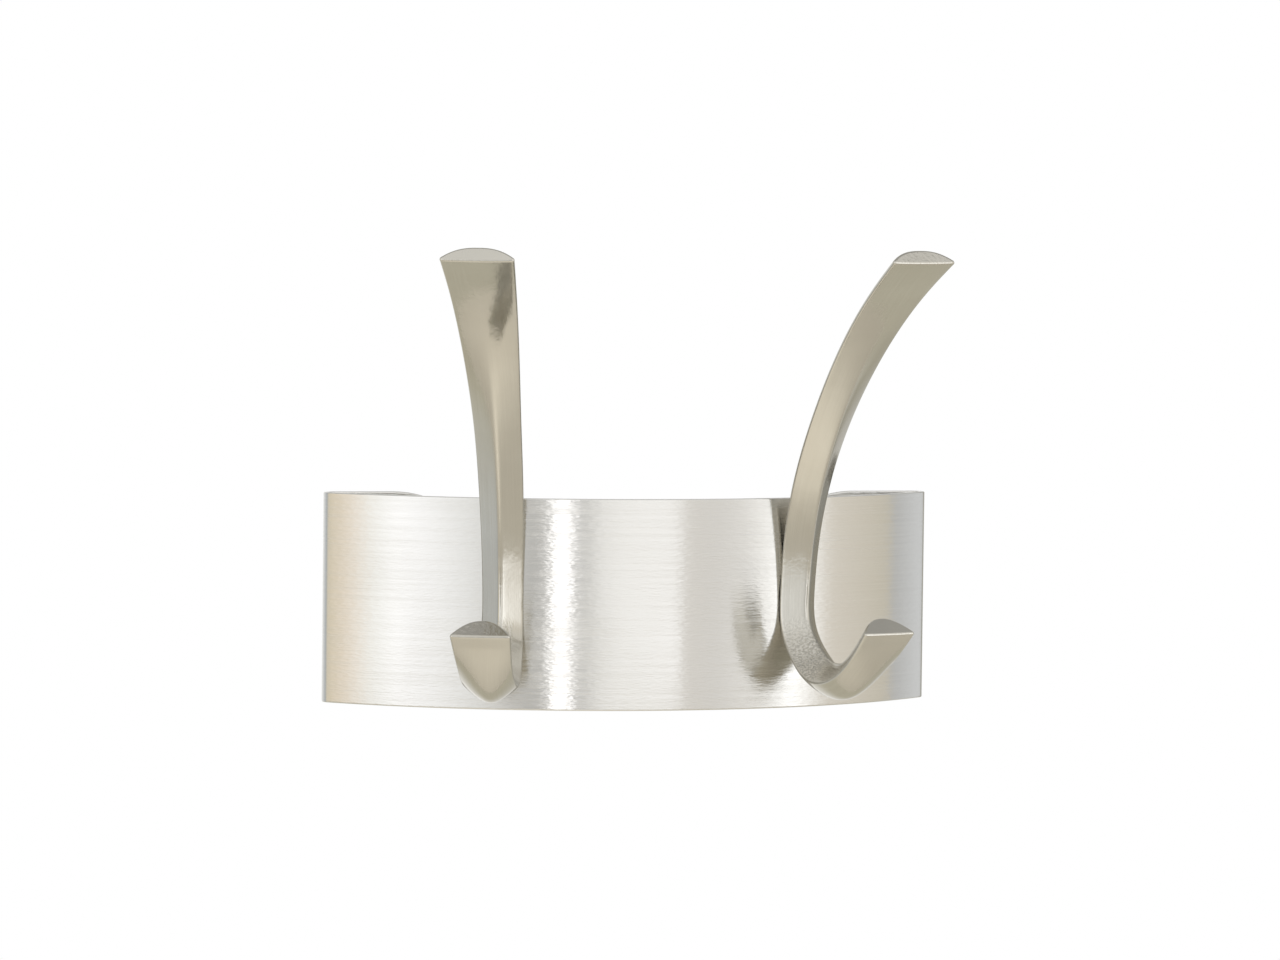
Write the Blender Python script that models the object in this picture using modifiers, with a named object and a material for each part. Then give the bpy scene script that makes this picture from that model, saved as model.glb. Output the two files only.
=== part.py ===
"""Wall hook rack: a bowed sheet-metal band that carries two cast double coat hooks.

Frame: metres, +Z up.  The wall is the plane y = 0 and the rack stands out from it
towards -Y.  The origin lies on the wall, midway between the two ears and at half the
band's height.

The band is one strip.  Its face is bowed, both ends turn back through a tight bend and
run inwards as flat ears that lie on the wall and hang on two keyholes.  Each hook is one
casting with a flat pad on its back, held by two machine screws put in from behind the
band, each with a flat washer and a split spring washer.
"""

import math

import bmesh
import bpy
import numpy as np

MM = 0.001

# Band
BAND_WIDTH = 225.6 * MM          # over the two end bends
BAND_HEIGHT = 76.2 * MM
SHEET = 2.0 * MM                 # sheet thickness
FACE_RADIUS = 160.0 * MM         # outside of the bowed face, seen from above
BEND_RADIUS = 4.5 * MM           # outside of the end bends
EAR_LENGTH = 60.0 * MM           # flat ear, from its bend to its round end
EDGE_BREAK = 0.3 * MM            # chamfer on the strip's long edges
FACE_STEPS = 24                  # facets on each half of the face
BEND_STEPS = 12

# Keyholes in the ears
WALL_SCREW_DIAMETER = 4.0 * MM
KEYHOLE_CLEARANCE = 0.3 * MM     # all round the wall screw's shank and head
WALL_SCREW_HEAD = 8.0 * MM
KEYHOLE_DROP = 9.0 * MM          # how far the rack drops from head hole to slot end
EAR_END_STEPS = 40               # facets round an ear's end
SLOT_STEPS = 12                  # round the top of a keyhole's slot
HEAD_HOLE_STEPS = 28             # round a keyhole's head hole

# Hooks
HOOK_SPACING = 108.5 * MM        # between the two hooks, measured along X
SEAT_GAP = 0.3 * MM              # between a hook's pad and the band's face
EDGE_LAND = 0.8 * MM             # narrow flat along both side edges of a hook
LOFT_STEPS = 46                  # sections along a hook
HALF_POINTS = 5                  # points across each half of a section's side
LEAST_RISE = 0.1                 # least crest or belly, so that no section folds flat

# One row for each station down a hook, from its upper tip to its lower tip:
# forward of the band's face, height from mid-band, half width, crest height on the
# inner side, crest power, belly depth on the outer side, belly power.  A side's profile
# is 1 - |u| ** power: 1 is a sharp ridge, 2 an arch, 8 a flat slab with eased edges.
HOOK_STATIONS = (
    (77.6, 125.1, 13.2, 0.2, 2.0, 5.0, 2.4),
    (62.6, 114.1, 12.0, 0.4, 2.0, 5.0, 2.4),
    (47.4, 100.4, 10.8, 1.1, 1.7, 4.8, 2.4),
    (33.0, 83.8, 9.6, 2.8, 1.3, 4.0, 2.8),
    (20.1, 64.9, 8.6, 4.6, 1.08, 3.0, 4.0),
    (10.0, 44.7, 8.1, 5.6, 1.0, 2.0, 6.5),
    (4.0, 24.8, 7.7, 6.0, 1.0, 1.6, 8.0),
    (1.5, 6.1, 7.4, 6.0, 1.0, 1.6, 8.0),
    (2.5, -9.0, 7.6, 6.0, 1.0, 1.6, 8.0),
    (10.4, -19.3, 8.5, 6.0, 1.0, 2.8, 4.0),
    (21.2, -25.8, 9.3, 6.0, 1.1, 5.4, 1.7),
    (32.0, -25.9, 9.6, 6.0, 1.4, 6.4, 1.5),
    (42.4, -21.3, 9.7, 6.2, 1.8, 4.6, 1.8),
    (51.2, -14.2, 10.2, 6.3, 2.0, 2.0, 2.4),
    (58.8, -6.4, 10.8, 6.4, 2.0, 0.2, 2.0),
)

# Screws that hold a hook
SCREW_DIAMETER = 4.0 * MM
SCREW_PITCH = 13.0 * MM          # between a hook's two screws
SCREW_REACH = 4.6 * MM           # shank beyond the band's face, inside the hook
HOLE_CLEARANCE = 0.3 * MM        # all round a screw, in the band and in the hook
END_CLEARANCE = 0.5 * MM         # below the screw's end, in the hook's blind hole
STACK_GAP = 0.3 * MM             # between sheet, washers and screw head
HEAD_DIAMETER = 8.0 * MM
HEAD_HEIGHT = 2.6 * MM
HEAD_RIM = 1.17 * MM             # straight side of the head, below its crown
SCREW_LEAD = 0.5 * MM            # chamfer at the screw's end
RECESS_WIDTH = 4.4 * MM          # across the screw's cross recess
RECESS_SLOT = 0.9 * MM
RECESS_DEPTH = 1.5 * MM
FLAT_WASHER_DIAMETER = 9.0 * MM
FLAT_WASHER_THICKNESS = 0.8 * MM
SPRING_WASHER_DIAMETER = 7.6 * MM
SPRING_WASHER_THICKNESS = 1.0 * MM
SPRING_WASHER_SPLIT = 0.9 * MM
SPLIT_SLANT = math.radians(20)
TURN_STEPS = 24                  # facets round a turned piece
CROWN_STEPS = 6                  # facets over a screw head's crown

THROUGH = 2.0 * MM               # how far a cutter runs past what it cuts
SHARP_ANGLE = math.radians(32)   # edges that turn by more are shaded sharp
LONG_EDGE_ANGLE = math.radians(60)   # edges that turn by more are broken

# Worked out from the sizes above
BEND_START = math.asin((BAND_WIDTH / 2 - BEND_RADIUS) / (FACE_RADIUS - BEND_RADIUS))
BAND_DEPTH = (FACE_RADIUS * (1 - math.cos(BEND_START))
              + BEND_RADIUS * (1 + math.cos(BEND_START)))
EAR_START_X = (FACE_RADIUS - BEND_RADIUS) * math.sin(BEND_START)
EAR_TIP_X = EAR_START_X - EAR_LENGTH
EAR_END_RADIUS = BAND_HEIGHT / 2
KEYHOLE_X = EAR_TIP_X + EAR_END_RADIUS
HOOK_ANGLE = math.asin(HOOK_SPACING / 2 / FACE_RADIUS)
SCREW_HOLE_RADIUS = SCREW_DIAMETER / 2 + HOLE_CLEARANCE


def clear_scene():
    """Remove every object, so that the script can run again in an open file."""
    for item in list(bpy.data.objects):
        bpy.data.objects.remove(item, do_unlink=True)


def make_collection(name):
    """A collection under the scene's own, made once."""
    collection = bpy.data.collections.get(name) or bpy.data.collections.new(name)
    if collection.name not in bpy.context.scene.collection.children:
        bpy.context.scene.collection.children.link(collection)
    return collection


def metal(name, colour, roughness):
    """A bare metal: one Principled BSDF with full metallic."""
    material = bpy.data.materials.new(name)
    material.use_nodes = True
    shader = material.node_tree.nodes["Principled BSDF"]
    shader.inputs["Base Color"].default_value = (*colour, 1.0)
    shader.inputs["Roughness"].default_value = roughness
    shader.inputs["Metallic"].default_value = 1.0
    return material


def add_object(name, mesh, collection, material=None, parent=None):
    """An object for a mesh, in a collection, with its material and parent."""
    item = bpy.data.objects.new(name, mesh)
    collection.objects.link(item)
    if material and not mesh.materials:
        mesh.materials.append(material)
    item.parent = parent
    return item


def mesh_from_bmesh(name, shape):
    """Turn a bmesh into a mesh, shaded smooth between sharp edges."""
    mesh = bpy.data.meshes.new(name)
    shape.to_mesh(mesh)
    shape.free()
    mesh.shade_smooth()
    mesh.set_sharp_from_angle(angle=SHARP_ANGLE)
    return mesh


def add_cutter(name, mesh, parent=None):
    """A cutter: shown as wire and left out of the model."""
    item = add_object(name, mesh, cutters, parent=parent)
    item.hide_render = True
    item.display_type = "WIRE"
    return item


def cut(target, cutter):
    """Subtract a cutter from a piece with the exact Boolean."""
    step = target.modifiers.new(cutter.name, "BOOLEAN")
    step.operation = "DIFFERENCE"
    step.solver = "EXACT"
    step.object = cutter


def cylinder_mesh(name, radius, length):
    """A closed cylinder along Z, centred on its origin."""
    shape = bmesh.new()
    bmesh.ops.create_cone(shape, cap_ends=True, segments=TURN_STEPS,
                          radius1=radius, radius2=radius, depth=length)
    return mesh_from_bmesh(name, shape)


def box_mesh(name, size):
    """A closed box, centred on its origin."""
    shape = bmesh.new()
    bmesh.ops.create_cube(shape, size=1.0)
    bmesh.ops.scale(shape, vec=size, verts=shape.verts)
    return mesh_from_bmesh(name, shape)


def arc_points(centre, radius, start, end, steps):
    """Points along an arc in a plane, both ends included."""
    angles = np.linspace(start, end, steps + 1)
    return [(centre[0] + radius * math.cos(a), centre[1] + radius * math.sin(a))
            for a in angles]


def plate_cutter(name, outline, thickness):
    """A flat outline in X and Z, filled and extruded along Y, made a closed mesh."""
    curve = bpy.data.curves.new(name, "CURVE")
    curve.dimensions = "2D"
    curve.fill_mode = "BOTH"
    curve.extrude = thickness / 2
    spline = curve.splines.new("POLY")
    spline.points.add(len(outline) - 1)
    for point, (x, z) in zip(spline.points, outline):
        point.co = (x, z, 0.0, 1.0)
    spline.use_cyclic_u = True
    guide = bpy.data.objects.new(name + "_outline", curve)
    cutters.objects.link(guide)
    guide.rotation_euler = (math.pi / 2, 0, 0)
    bpy.context.view_layer.update()
    drawn = guide.evaluated_get(bpy.context.evaluated_depsgraph_get())
    mesh = bpy.data.meshes.new_from_object(drawn)
    shape = bmesh.new()
    shape.from_mesh(mesh)
    bmesh.ops.remove_doubles(shape, verts=shape.verts, dist=1e-6)
    shape.to_mesh(mesh)
    shape.free()
    cutter = add_cutter(name, mesh)
    cutter.matrix_world = guide.matrix_world.copy()
    bpy.data.objects.remove(guide, do_unlink=True)
    return cutter


# ---------------------------------------------------------------- band

def band_half_plan():
    """Outside line of the strip's right half, seen from above, from the middle of the
    face to the end of the ear."""
    face = [(FACE_RADIUS * math.sin(a), -BAND_DEPTH + FACE_RADIUS * (1 - math.cos(a)))
            for a in np.linspace(0, BEND_START, FACE_STEPS + 1)]
    corner_x, corner_y = face[-1]
    bend = [(corner_x + BEND_RADIUS * (math.sin(a) - math.sin(BEND_START)),
             corner_y + BEND_RADIUS * (math.cos(BEND_START) - math.cos(a)))
            for a in np.linspace(BEND_START, math.pi, BEND_STEPS + 1)]
    return face + bend[1:] + [(EAR_TIP_X, 0.0)]


def band_surface():
    """The open outside surface of the strip's right half."""
    shape = bmesh.new()
    columns = []
    for x, y in band_half_plan():
        low = shape.verts.new((x, y, -BAND_HEIGHT / 2))
        high = shape.verts.new((x, y, BAND_HEIGHT / 2))
        columns.append((low, high))
    for (low, high), (next_low, next_high) in zip(columns, columns[1:]):
        shape.faces.new((low, next_low, next_high, high))
    return mesh_from_bmesh("band", shape)


def ear_end_outline(side):
    """What is cut away round an ear's end to leave it fully rounded."""
    reach = EAR_END_RADIUS + THROUGH
    start = math.pi / 2
    round_end = arc_points((KEYHOLE_X, 0.0), EAR_END_RADIUS, start, 3 * start, EAR_END_STEPS)
    outside = [(KEYHOLE_X, -reach), (EAR_TIP_X - THROUGH, -reach),
               (EAR_TIP_X - THROUGH, reach), (KEYHOLE_X, reach)]
    return [(side * x, z) for x, z in round_end + outside]


def keyhole_outline(side):
    """Head hole below, slot above: the rack drops until the screw is at the slot's end."""
    slot_radius = WALL_SCREW_DIAMETER / 2 + KEYHOLE_CLEARANCE
    head_radius = WALL_SCREW_HEAD / 2 + KEYHOLE_CLEARANCE
    join = math.acos(slot_radius / head_radius)
    low_z = -KEYHOLE_DROP / 2
    slot = arc_points((0.0, low_z + KEYHOLE_DROP), slot_radius, 0.0, math.pi, SLOT_STEPS)
    head = arc_points((0.0, low_z), head_radius, math.pi - join, 2 * math.pi + join,
                      HEAD_HOLE_STEPS)
    return [(side * (KEYHOLE_X + x), z) for x, z in slot + head]


def build_band():
    """The bowed strip with its ears, keyholes and screw holes."""
    band = add_object("band", band_surface(), parts, stainless)
    mirror = band.modifiers.new("both_halves", "MIRROR")
    mirror.use_axis = (True, False, False)
    mirror.use_mirror_merge = True
    mirror.merge_threshold = 1e-5
    wall = band.modifiers.new("sheet", "SOLIDIFY")
    wall.thickness = SHEET
    wall.offset = -1.0
    wall.use_even_offset = True
    edges = band.modifiers.new("edge_break", "BEVEL")
    edges.width = EDGE_BREAK
    edges.segments = 1
    edges.limit_method = "ANGLE"
    edges.angle_limit = LONG_EDGE_ANGLE
    for label, side in SIDES:
        ear_thickness = 2 * (SHEET + THROUGH)
        cut(band, plate_cutter(label + "_ear_end", ear_end_outline(side), ear_thickness))
        cut(band, plate_cutter(label + "_keyhole", keyhole_outline(side), ear_thickness))
    return band


# ---------------------------------------------------------------- hooks

def natural_spline(rows, count):
    """Rows of values on a smooth curve through the given rows, evenly spaced along it.
    A cubic joins each pair of rows, with equal slope and bend where two cubics meet and
    no bend at the ends."""
    rows = np.asarray(rows, float)
    steps = np.hypot(*np.diff(rows[:, :2], axis=0).T)
    knots = np.concatenate(([0.0], np.cumsum(steps)))
    size = len(rows)
    left = np.eye(size)
    right = np.zeros_like(rows)
    for i in range(1, size - 1):
        before, after = steps[i - 1], steps[i]
        left[i, i - 1:i + 2] = before, 2 * (before + after), after
        right[i] = 6 * ((rows[i + 1] - rows[i]) / after - (rows[i] - rows[i - 1]) / before)
    bend = np.linalg.solve(left, right)
    where = np.linspace(0.0, knots[-1], count)
    i = np.clip(np.searchsorted(knots, where, side="right") - 1, 0, size - 2)
    width = steps[i][:, None]
    past = (where - knots[i])[:, None]
    short = width - past
    return (bend[i] * short ** 3 / (6 * width) + bend[i + 1] * past ** 3 / (6 * width)
            + (rows[i] / width - bend[i] * width / 6) * short
            + (rows[i + 1] / width - bend[i + 1] * width / 6) * past)


def hook_rings():
    """Points of each section of a hook, as rings of (x, y, z): x is sideways, -y is
    forward and the band's face is y = 0."""
    rows = natural_spline(HOOK_STATIONS, LOFT_STEPS + 1)
    path = rows[:, :2] * MM
    along = np.gradient(path, axis=0)
    along /= np.linalg.norm(along, axis=1)[:, None]
    inward = np.stack((-along[:, 1], along[:, 0]), axis=1)
    half_width, crest, crest_power, belly, belly_power = rows[:, 2:].T
    across = np.sin(np.linspace(-math.pi / 2, math.pi / 2, 2 * HALF_POINTS + 1))
    arch = 1 - np.abs(across)[None, :] ** np.maximum(crest_power, 1.0)[:, None]
    sag = 1 - np.abs(across)[None, :] ** np.maximum(belly_power, 1.0)[:, None]
    inner = EDGE_LAND / 2 + np.maximum(crest, LEAST_RISE)[:, None] * MM * arch
    outer = -EDGE_LAND / 2 - np.maximum(belly, LEAST_RISE)[:, None] * MM * sag
    offset = np.concatenate((inner, outer[:, ::-1]), axis=1)
    u = np.concatenate((across, across[::-1]))
    side = half_width[:, None] * MM * u[None, :]
    forward = path[:, :1] + inward[:, :1] * offset
    height = path[:, 1:] + inward[:, 1:] * offset
    forward = np.maximum(forward, SEAT_GAP)
    return np.stack((side, -forward, height), axis=2)


def hook_mesh():
    """Loft through the sections, closed by a flat face at each tip."""
    rings = hook_rings()
    shape = bmesh.new()
    verts = [[shape.verts.new(point) for point in ring] for ring in rings]
    count = len(verts[0])
    for ring, following in zip(verts, verts[1:]):
        for i in range(count):
            j = (i + 1) % count
            shape.faces.new((ring[i], ring[j], following[j], following[i]))
    shape.faces.new(verts[0][::-1])
    shape.faces.new(verts[-1])
    bmesh.ops.recalc_face_normals(shape, faces=shape.faces)
    return mesh_from_bmesh("hook", shape)


# ---------------------------------------------------------------- fixings

def turned(name, profile, material, parent, distance, height):
    """A turned piece: its profile runs down the outer side, and its top faces the wall.
    Its origin lies on the screw's axis, at a distance behind the band's face."""
    shape = bmesh.new()
    verts = [shape.verts.new((x, 0.0, z)) for x, z in profile]
    closed = profile[0][0] > 0
    for start, end in zip(verts, verts[1:] + verts[:1] if closed else verts[1:]):
        shape.edges.new((start, end))
    mesh = bpy.data.meshes.new(name)
    shape.to_mesh(mesh)
    shape.free()
    item = add_object(name, mesh, parts, material, parent)
    item.location = (0.0, distance, height)
    item.rotation_euler = (-math.pi / 2, 0, 0)
    spin = item.modifiers.new("turn", "SCREW")
    spin.axis = "Z"
    spin.steps = TURN_STEPS
    spin.render_steps = TURN_STEPS
    spin.use_merge_vertices = True
    spin.merge_threshold = 1e-6
    spin.use_smooth_shade = True
    return item


def screw_profile():
    """Pan head on top, shank below, a small lead at the end."""
    radius = SCREW_DIAMETER / 2
    head = HEAD_DIAMETER / 2
    crown = [(head * math.sin(a), HEAD_RIM + (HEAD_HEIGHT - HEAD_RIM) * math.cos(a))
             for a in np.linspace(0, math.pi / 2, CROWN_STEPS + 1)]
    length = SHEET + SCREW_REACH + stack_height()
    return crown + [(head, 0.0), (radius, 0.0), (radius, SCREW_LEAD - length),
                    (radius - SCREW_LEAD, -length), (0.0, -length)]


def ring_profile(outer_diameter, thickness):
    """Square section of a washer round the screw's axis."""
    inner, outer = SCREW_HOLE_RADIUS, outer_diameter / 2
    return [(outer, thickness), (outer, 0.0), (inner, 0.0), (inner, thickness)]


def stack_height():
    """From the sheet's inside to the underside of the screw head."""
    return 3 * STACK_GAP + FLAT_WASHER_THICKNESS + SPRING_WASHER_THICKNESS


def build_fixing(label, hook, band, seat, height):
    """One screw with its two washers, and the holes that they need."""
    flat_at = SHEET + STACK_GAP
    spring_at = flat_at + FLAT_WASHER_THICKNESS + STACK_GAP
    head_at = SHEET + stack_height()
    turned(label + "_flat_washer", ring_profile(FLAT_WASHER_DIAMETER, FLAT_WASHER_THICKNESS),
           zinc, seat, flat_at, height)
    spring = turned(label + "_spring_washer",
                    ring_profile(SPRING_WASHER_DIAMETER, SPRING_WASHER_THICKNESS),
                    spring_steel, seat, spring_at, height)
    split_size = (SPRING_WASHER_DIAMETER, 4 * SPRING_WASHER_THICKNESS, SPRING_WASHER_SPLIT)
    split = add_cutter(label + "_split", box_mesh(label + "_split", split_size), seat)
    split.location = (SPRING_WASHER_DIAMETER / 2 + SCREW_DIAMETER / 4,
                      spring_at + SPRING_WASHER_THICKNESS / 2, height)
    split.rotation_euler = (SPLIT_SLANT, 0, 0)
    cut(spring, split)
    screw = turned(label + "_screw", screw_profile(), zinc, seat, head_at, height)
    for blade, turn in (("a", 0.0), ("b", math.pi / 2)):
        name = label + "_recess_" + blade
        size = (RECESS_WIDTH, 2 * RECESS_DEPTH, RECESS_SLOT)
        recess = add_cutter(name, box_mesh(name, size), seat)
        recess.location = (0.0, head_at + HEAD_HEIGHT, height)
        recess.rotation_euler = (0, turn, 0)
        cut(screw, recess)
    blind_end = SCREW_REACH + END_CLEARANCE
    tapped_mesh = cylinder_mesh(label + "_tapped", SCREW_HOLE_RADIUS, 2 * blind_end)
    tapped = add_cutter(label + "_tapped_hole", tapped_mesh, seat)
    tapped.location = (0.0, 0.0, height)
    tapped.rotation_euler = (math.pi / 2, 0, 0)
    cut(hook, tapped)
    sheet_mesh = cylinder_mesh(label + "_through", SCREW_HOLE_RADIUS, 2 * SHEET + 2 * THROUGH)
    through = add_cutter(label + "_sheet_hole", sheet_mesh, seat)
    through.location = (0.0, SHEET / 2, height)
    through.rotation_euler = (math.pi / 2, 0, 0)
    cut(band, through)


def build_hook(label, side, mesh, band):
    """A hook on its seat, square to the bowed face, with its two fixings."""
    angle = side * HOOK_ANGLE
    seat = bpy.data.objects.new(label + "_seat", None)
    parts.objects.link(seat)
    seat.empty_display_size = 0.01
    seat.location = (FACE_RADIUS * math.sin(angle),
                     -BAND_DEPTH + FACE_RADIUS * (1 - math.cos(angle)), 0.0)
    seat.rotation_euler = (0, 0, angle)
    hook = add_object(label + "_hook", mesh, parts, nickel, seat)
    for place, direction in (("upper", 1), ("lower", -1)):
        build_fixing(label + "_" + place, hook, band, seat, direction * SCREW_PITCH / 2)


# ---------------------------------------------------------------- assembly

SIDES = (("left", -1), ("right", 1))

clear_scene()
parts = make_collection("wall_hook_rack")
cutters = make_collection("cutters")
stainless = metal("brushed_stainless", (0.66, 0.65, 0.62), 0.32)
nickel = metal("satin_nickel", (0.56, 0.53, 0.47), 0.22)
zinc = metal("zinc_plated_steel", (0.60, 0.61, 0.62), 0.35)
spring_steel = metal("spring_steel", (0.36, 0.36, 0.37), 0.40)

rack_band = build_band()
shared_hook_mesh = hook_mesh()
for side_label, side_sign in SIDES:
    build_hook(side_label, side_sign, shared_hook_mesh, rack_band)
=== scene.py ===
# %% Load the frame
import math

import bmesh
import bpy
import numpy as np
from mathutils import Matrix, Vector


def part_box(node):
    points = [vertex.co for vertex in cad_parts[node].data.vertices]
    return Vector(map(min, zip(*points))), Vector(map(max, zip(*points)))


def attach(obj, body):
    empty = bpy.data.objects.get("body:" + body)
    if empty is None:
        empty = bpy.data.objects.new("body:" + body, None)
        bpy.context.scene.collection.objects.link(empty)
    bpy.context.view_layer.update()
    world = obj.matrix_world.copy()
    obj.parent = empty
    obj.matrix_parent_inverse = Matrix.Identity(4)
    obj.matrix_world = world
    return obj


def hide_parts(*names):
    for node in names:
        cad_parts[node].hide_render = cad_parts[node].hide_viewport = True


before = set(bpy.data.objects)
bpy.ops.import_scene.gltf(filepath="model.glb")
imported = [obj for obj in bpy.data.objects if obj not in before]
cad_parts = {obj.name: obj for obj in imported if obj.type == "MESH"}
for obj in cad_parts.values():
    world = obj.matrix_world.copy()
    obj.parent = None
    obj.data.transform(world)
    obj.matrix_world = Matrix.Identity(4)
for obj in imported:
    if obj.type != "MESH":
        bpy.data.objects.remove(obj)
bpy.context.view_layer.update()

MM = 0.001

# %% [markdown]
# This lesson dresses a wall hook rack.  The real one is a strip of brushed stainless
# steel, bowed forward, whose two ends fold back to lie on the wall.  Two solid hooks are
# screwed to it from behind.  The engineering model gives every place and size; here each
# piece is made again with soft edges and the fine finish that the light plays on.
# Blender can shape metal with sculpting or with modifiers, but all of these pieces follow
# a rule, so most are written as a formula on a grid of two numbers.

# %% Sizes of the strip
FACE_RADIUS = 160.0 * MM         # outside of the bowed face, seen from above
BEND_RADIUS = 4.5 * MM           # outside of the end bends
BAND_HEIGHT = 76.2 * MM
SHEET = 2.0 * MM
EAR_LENGTH = 60.0 * MM
LOW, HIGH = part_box("band")
BAND_DEPTH = -LOW.y
BEND_START = math.asin((HIGH.x - BEND_RADIUS) / (FACE_RADIUS - BEND_RADIUS))
FACE_LENGTH = FACE_RADIUS * BEND_START
BEND_LENGTH = BEND_RADIUS * (math.pi - BEND_START)
HALF_LENGTH = FACE_LENGTH + BEND_LENGTH + EAR_LENGTH
EAR_ROUND = BAND_HEIGHT / 2
print(f"strip unrolls to {2 * HALF_LENGTH / MM:.1f} mm, "
      f"bend starts at {math.degrees(BEND_START):.1f} degrees")

# %% [markdown]
# Every surface starts as a table of points with rows and columns.  Neighbours in the
# table are neighbours on the surface, so the faces can be listed without knowing the
# shape.  Where a table closes on itself, or all of a row meets in one point, the doubled
# points are merged, and the faces are then turned to look outwards.


# %% Grids into meshes
MERGE_DISTANCE = 0.002 * MM
SHARP_ANGLE = math.radians(34.0)


def grid_faces(rows, columns, wrap_rows=False, wrap_columns=False):
    """The four corner numbers of each face of a table of points, row after row."""
    number = np.arange(rows * columns).reshape(rows, columns)
    if wrap_rows:
        number = np.vstack((number, number[:1]))
    if wrap_columns:
        number = np.hstack((number, number[:, :1]))
    corners = (number[:-1, :-1], number[1:, :-1], number[1:, 1:], number[:-1, 1:])
    return np.stack(corners, axis=-1).reshape(-1, 4)


def end_caps(rings):
    """Two faces that fill the first and the last ring of a table of points."""
    count, total = rings.shape[1], rings.shape[0] * rings.shape[1]
    return [list(range(count)), list(range(total - count, total))]


def make_mesh(name, points, faces, extra_faces=(), flat=None):
    """A closed mesh from points and faces; flat gives each point its place on the unrolled
    surface, kept as a UV map."""
    mesh = bpy.data.meshes.new(name)
    mesh.from_pydata(points.reshape(-1, 3).tolist(), [], faces.tolist() + list(extra_faces))
    if flat is not None:
        corner_points = np.empty(len(mesh.loops), dtype=np.int32)
        mesh.loops.foreach_get("vertex_index", corner_points)
        layer = mesh.uv_layers.new(name="unrolled")
        layer.uv.foreach_set("vector", flat.reshape(-1, 2)[corner_points].ravel())
    shape = bmesh.new()
    shape.from_mesh(mesh)
    bmesh.ops.remove_doubles(shape, verts=shape.verts, dist=MERGE_DISTANCE)
    bmesh.ops.recalc_face_normals(shape, faces=shape.faces)
    shape.to_mesh(mesh)
    shape.free()
    return mesh


def finish_mesh(mesh):
    """Shade a mesh smooth, apart from edges that turn by more than the sharp angle."""
    mesh.shade_smooth()
    mesh.set_sharp_from_angle(angle=SHARP_ANGLE)
    return mesh


# %% Cutting one mesh with others
def carve(mesh, cutter_meshes):
    """A mesh less some others, by the exact Boolean; only the result is kept."""
    target = bpy.data.objects.new("carving", mesh)
    bpy.context.scene.collection.objects.link(target)
    tools = []
    for cutter_mesh in cutter_meshes:
        tool = bpy.data.objects.new("tool", cutter_mesh)
        bpy.context.scene.collection.objects.link(tool)
        step = target.modifiers.new("cut", "BOOLEAN")
        step.operation, step.solver, step.object = "DIFFERENCE", "EXACT", tool
        tools.append(tool)
    bpy.context.view_layer.update()
    ready = target.evaluated_get(bpy.context.evaluated_depsgraph_get())
    result = bpy.data.meshes.new_from_object(ready)
    for item in [target] + tools:
        bpy.data.objects.remove(item, do_unlink=True)
    print(mesh.name, "carved by", len(cutter_meshes), "cutters:", len(result.polygons), "faces")
    return result


def prism_mesh(name, layers):
    """A closed solid through matching outlines: layers holds one closed loop of points a row."""
    faces = grid_faces(*layers.shape[:2], wrap_columns=True)
    return make_mesh(name, layers, faces, end_caps(layers))


# %% [markdown]
# The strip is one sheet, so it is easiest to think of it lying flat: a long rectangle
# with half-round ends.  Every point of its outline is the same distance from a centre
# line, so one section, from the centre line out over the rounded edge and back on the
# other side, serves all the way round.  The flat shape is then rolled up: a distance
# along the strip becomes a turn.  Keeping the flat distances as a UV map lets the brush
# marks follow the strip round its bends.


# %% The strip, rolled up
def strip_place(along, depth):
    """Where a point of the flat strip goes in plan.  The turn grows evenly with distance,
    slowly on the face and fast in the bend, up to half a turn on the ear; depth is
    measured inwards from the outside."""
    side, distance = np.sign(along), np.abs(along)
    turn = np.where(distance < FACE_LENGTH, distance / FACE_RADIUS,
                    BEND_START + (distance - FACE_LENGTH) / BEND_RADIUS)
    turn = np.minimum(turn, math.pi)
    on_face = distance < FACE_LENGTH
    bend_x = (FACE_RADIUS * math.sin(BEND_START)
              + BEND_RADIUS * (np.sin(turn) - math.sin(BEND_START)))
    bend_y = (-BAND_DEPTH + FACE_RADIUS * (1 - math.cos(BEND_START))
              + BEND_RADIUS * (math.cos(BEND_START) - np.cos(turn)))
    x = np.where(on_face, FACE_RADIUS * np.sin(turn), bend_x)
    y = np.where(on_face, -BAND_DEPTH + FACE_RADIUS * (1 - np.cos(turn)), bend_y)
    x = x - np.maximum(distance - FACE_LENGTH - BEND_LENGTH, 0.0)
    return side * (x - depth * np.sin(turn)), y + depth * np.cos(turn)


EDGE_ROUND = 0.45 * MM           # the strip's edges
EDGE_GUARD = 0.25 * MM           # a narrow facet that keeps the rounding out of the flat
EDGE_STEPS, FLAT_STEPS = 5, 12   # facets over an edge, and out to it
FACE_CELL = 2.0 * MM             # length of one facet along the face
BEND_POINTS, EAR_POINTS, END_POINTS = 25, 8, 61


def strip_section():
    """Distance from the centre line and depth into the sheet, out over the edge and back."""
    reach = EAR_ROUND - EDGE_ROUND
    out = np.append(np.linspace(0.0, reach - EDGE_GUARD, FLAT_STEPS), reach)
    turn = np.linspace(0.0, math.pi / 2, EDGE_STEPS + 1)[1:]
    distance = np.concatenate((out, reach + EDGE_ROUND * np.sin(turn)))
    depth = np.concatenate((np.zeros_like(out), EDGE_ROUND * (1 - np.cos(turn))))
    return (np.concatenate((distance, distance[::-1])),
            np.concatenate((depth, SHEET - depth[::-1])))


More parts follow.
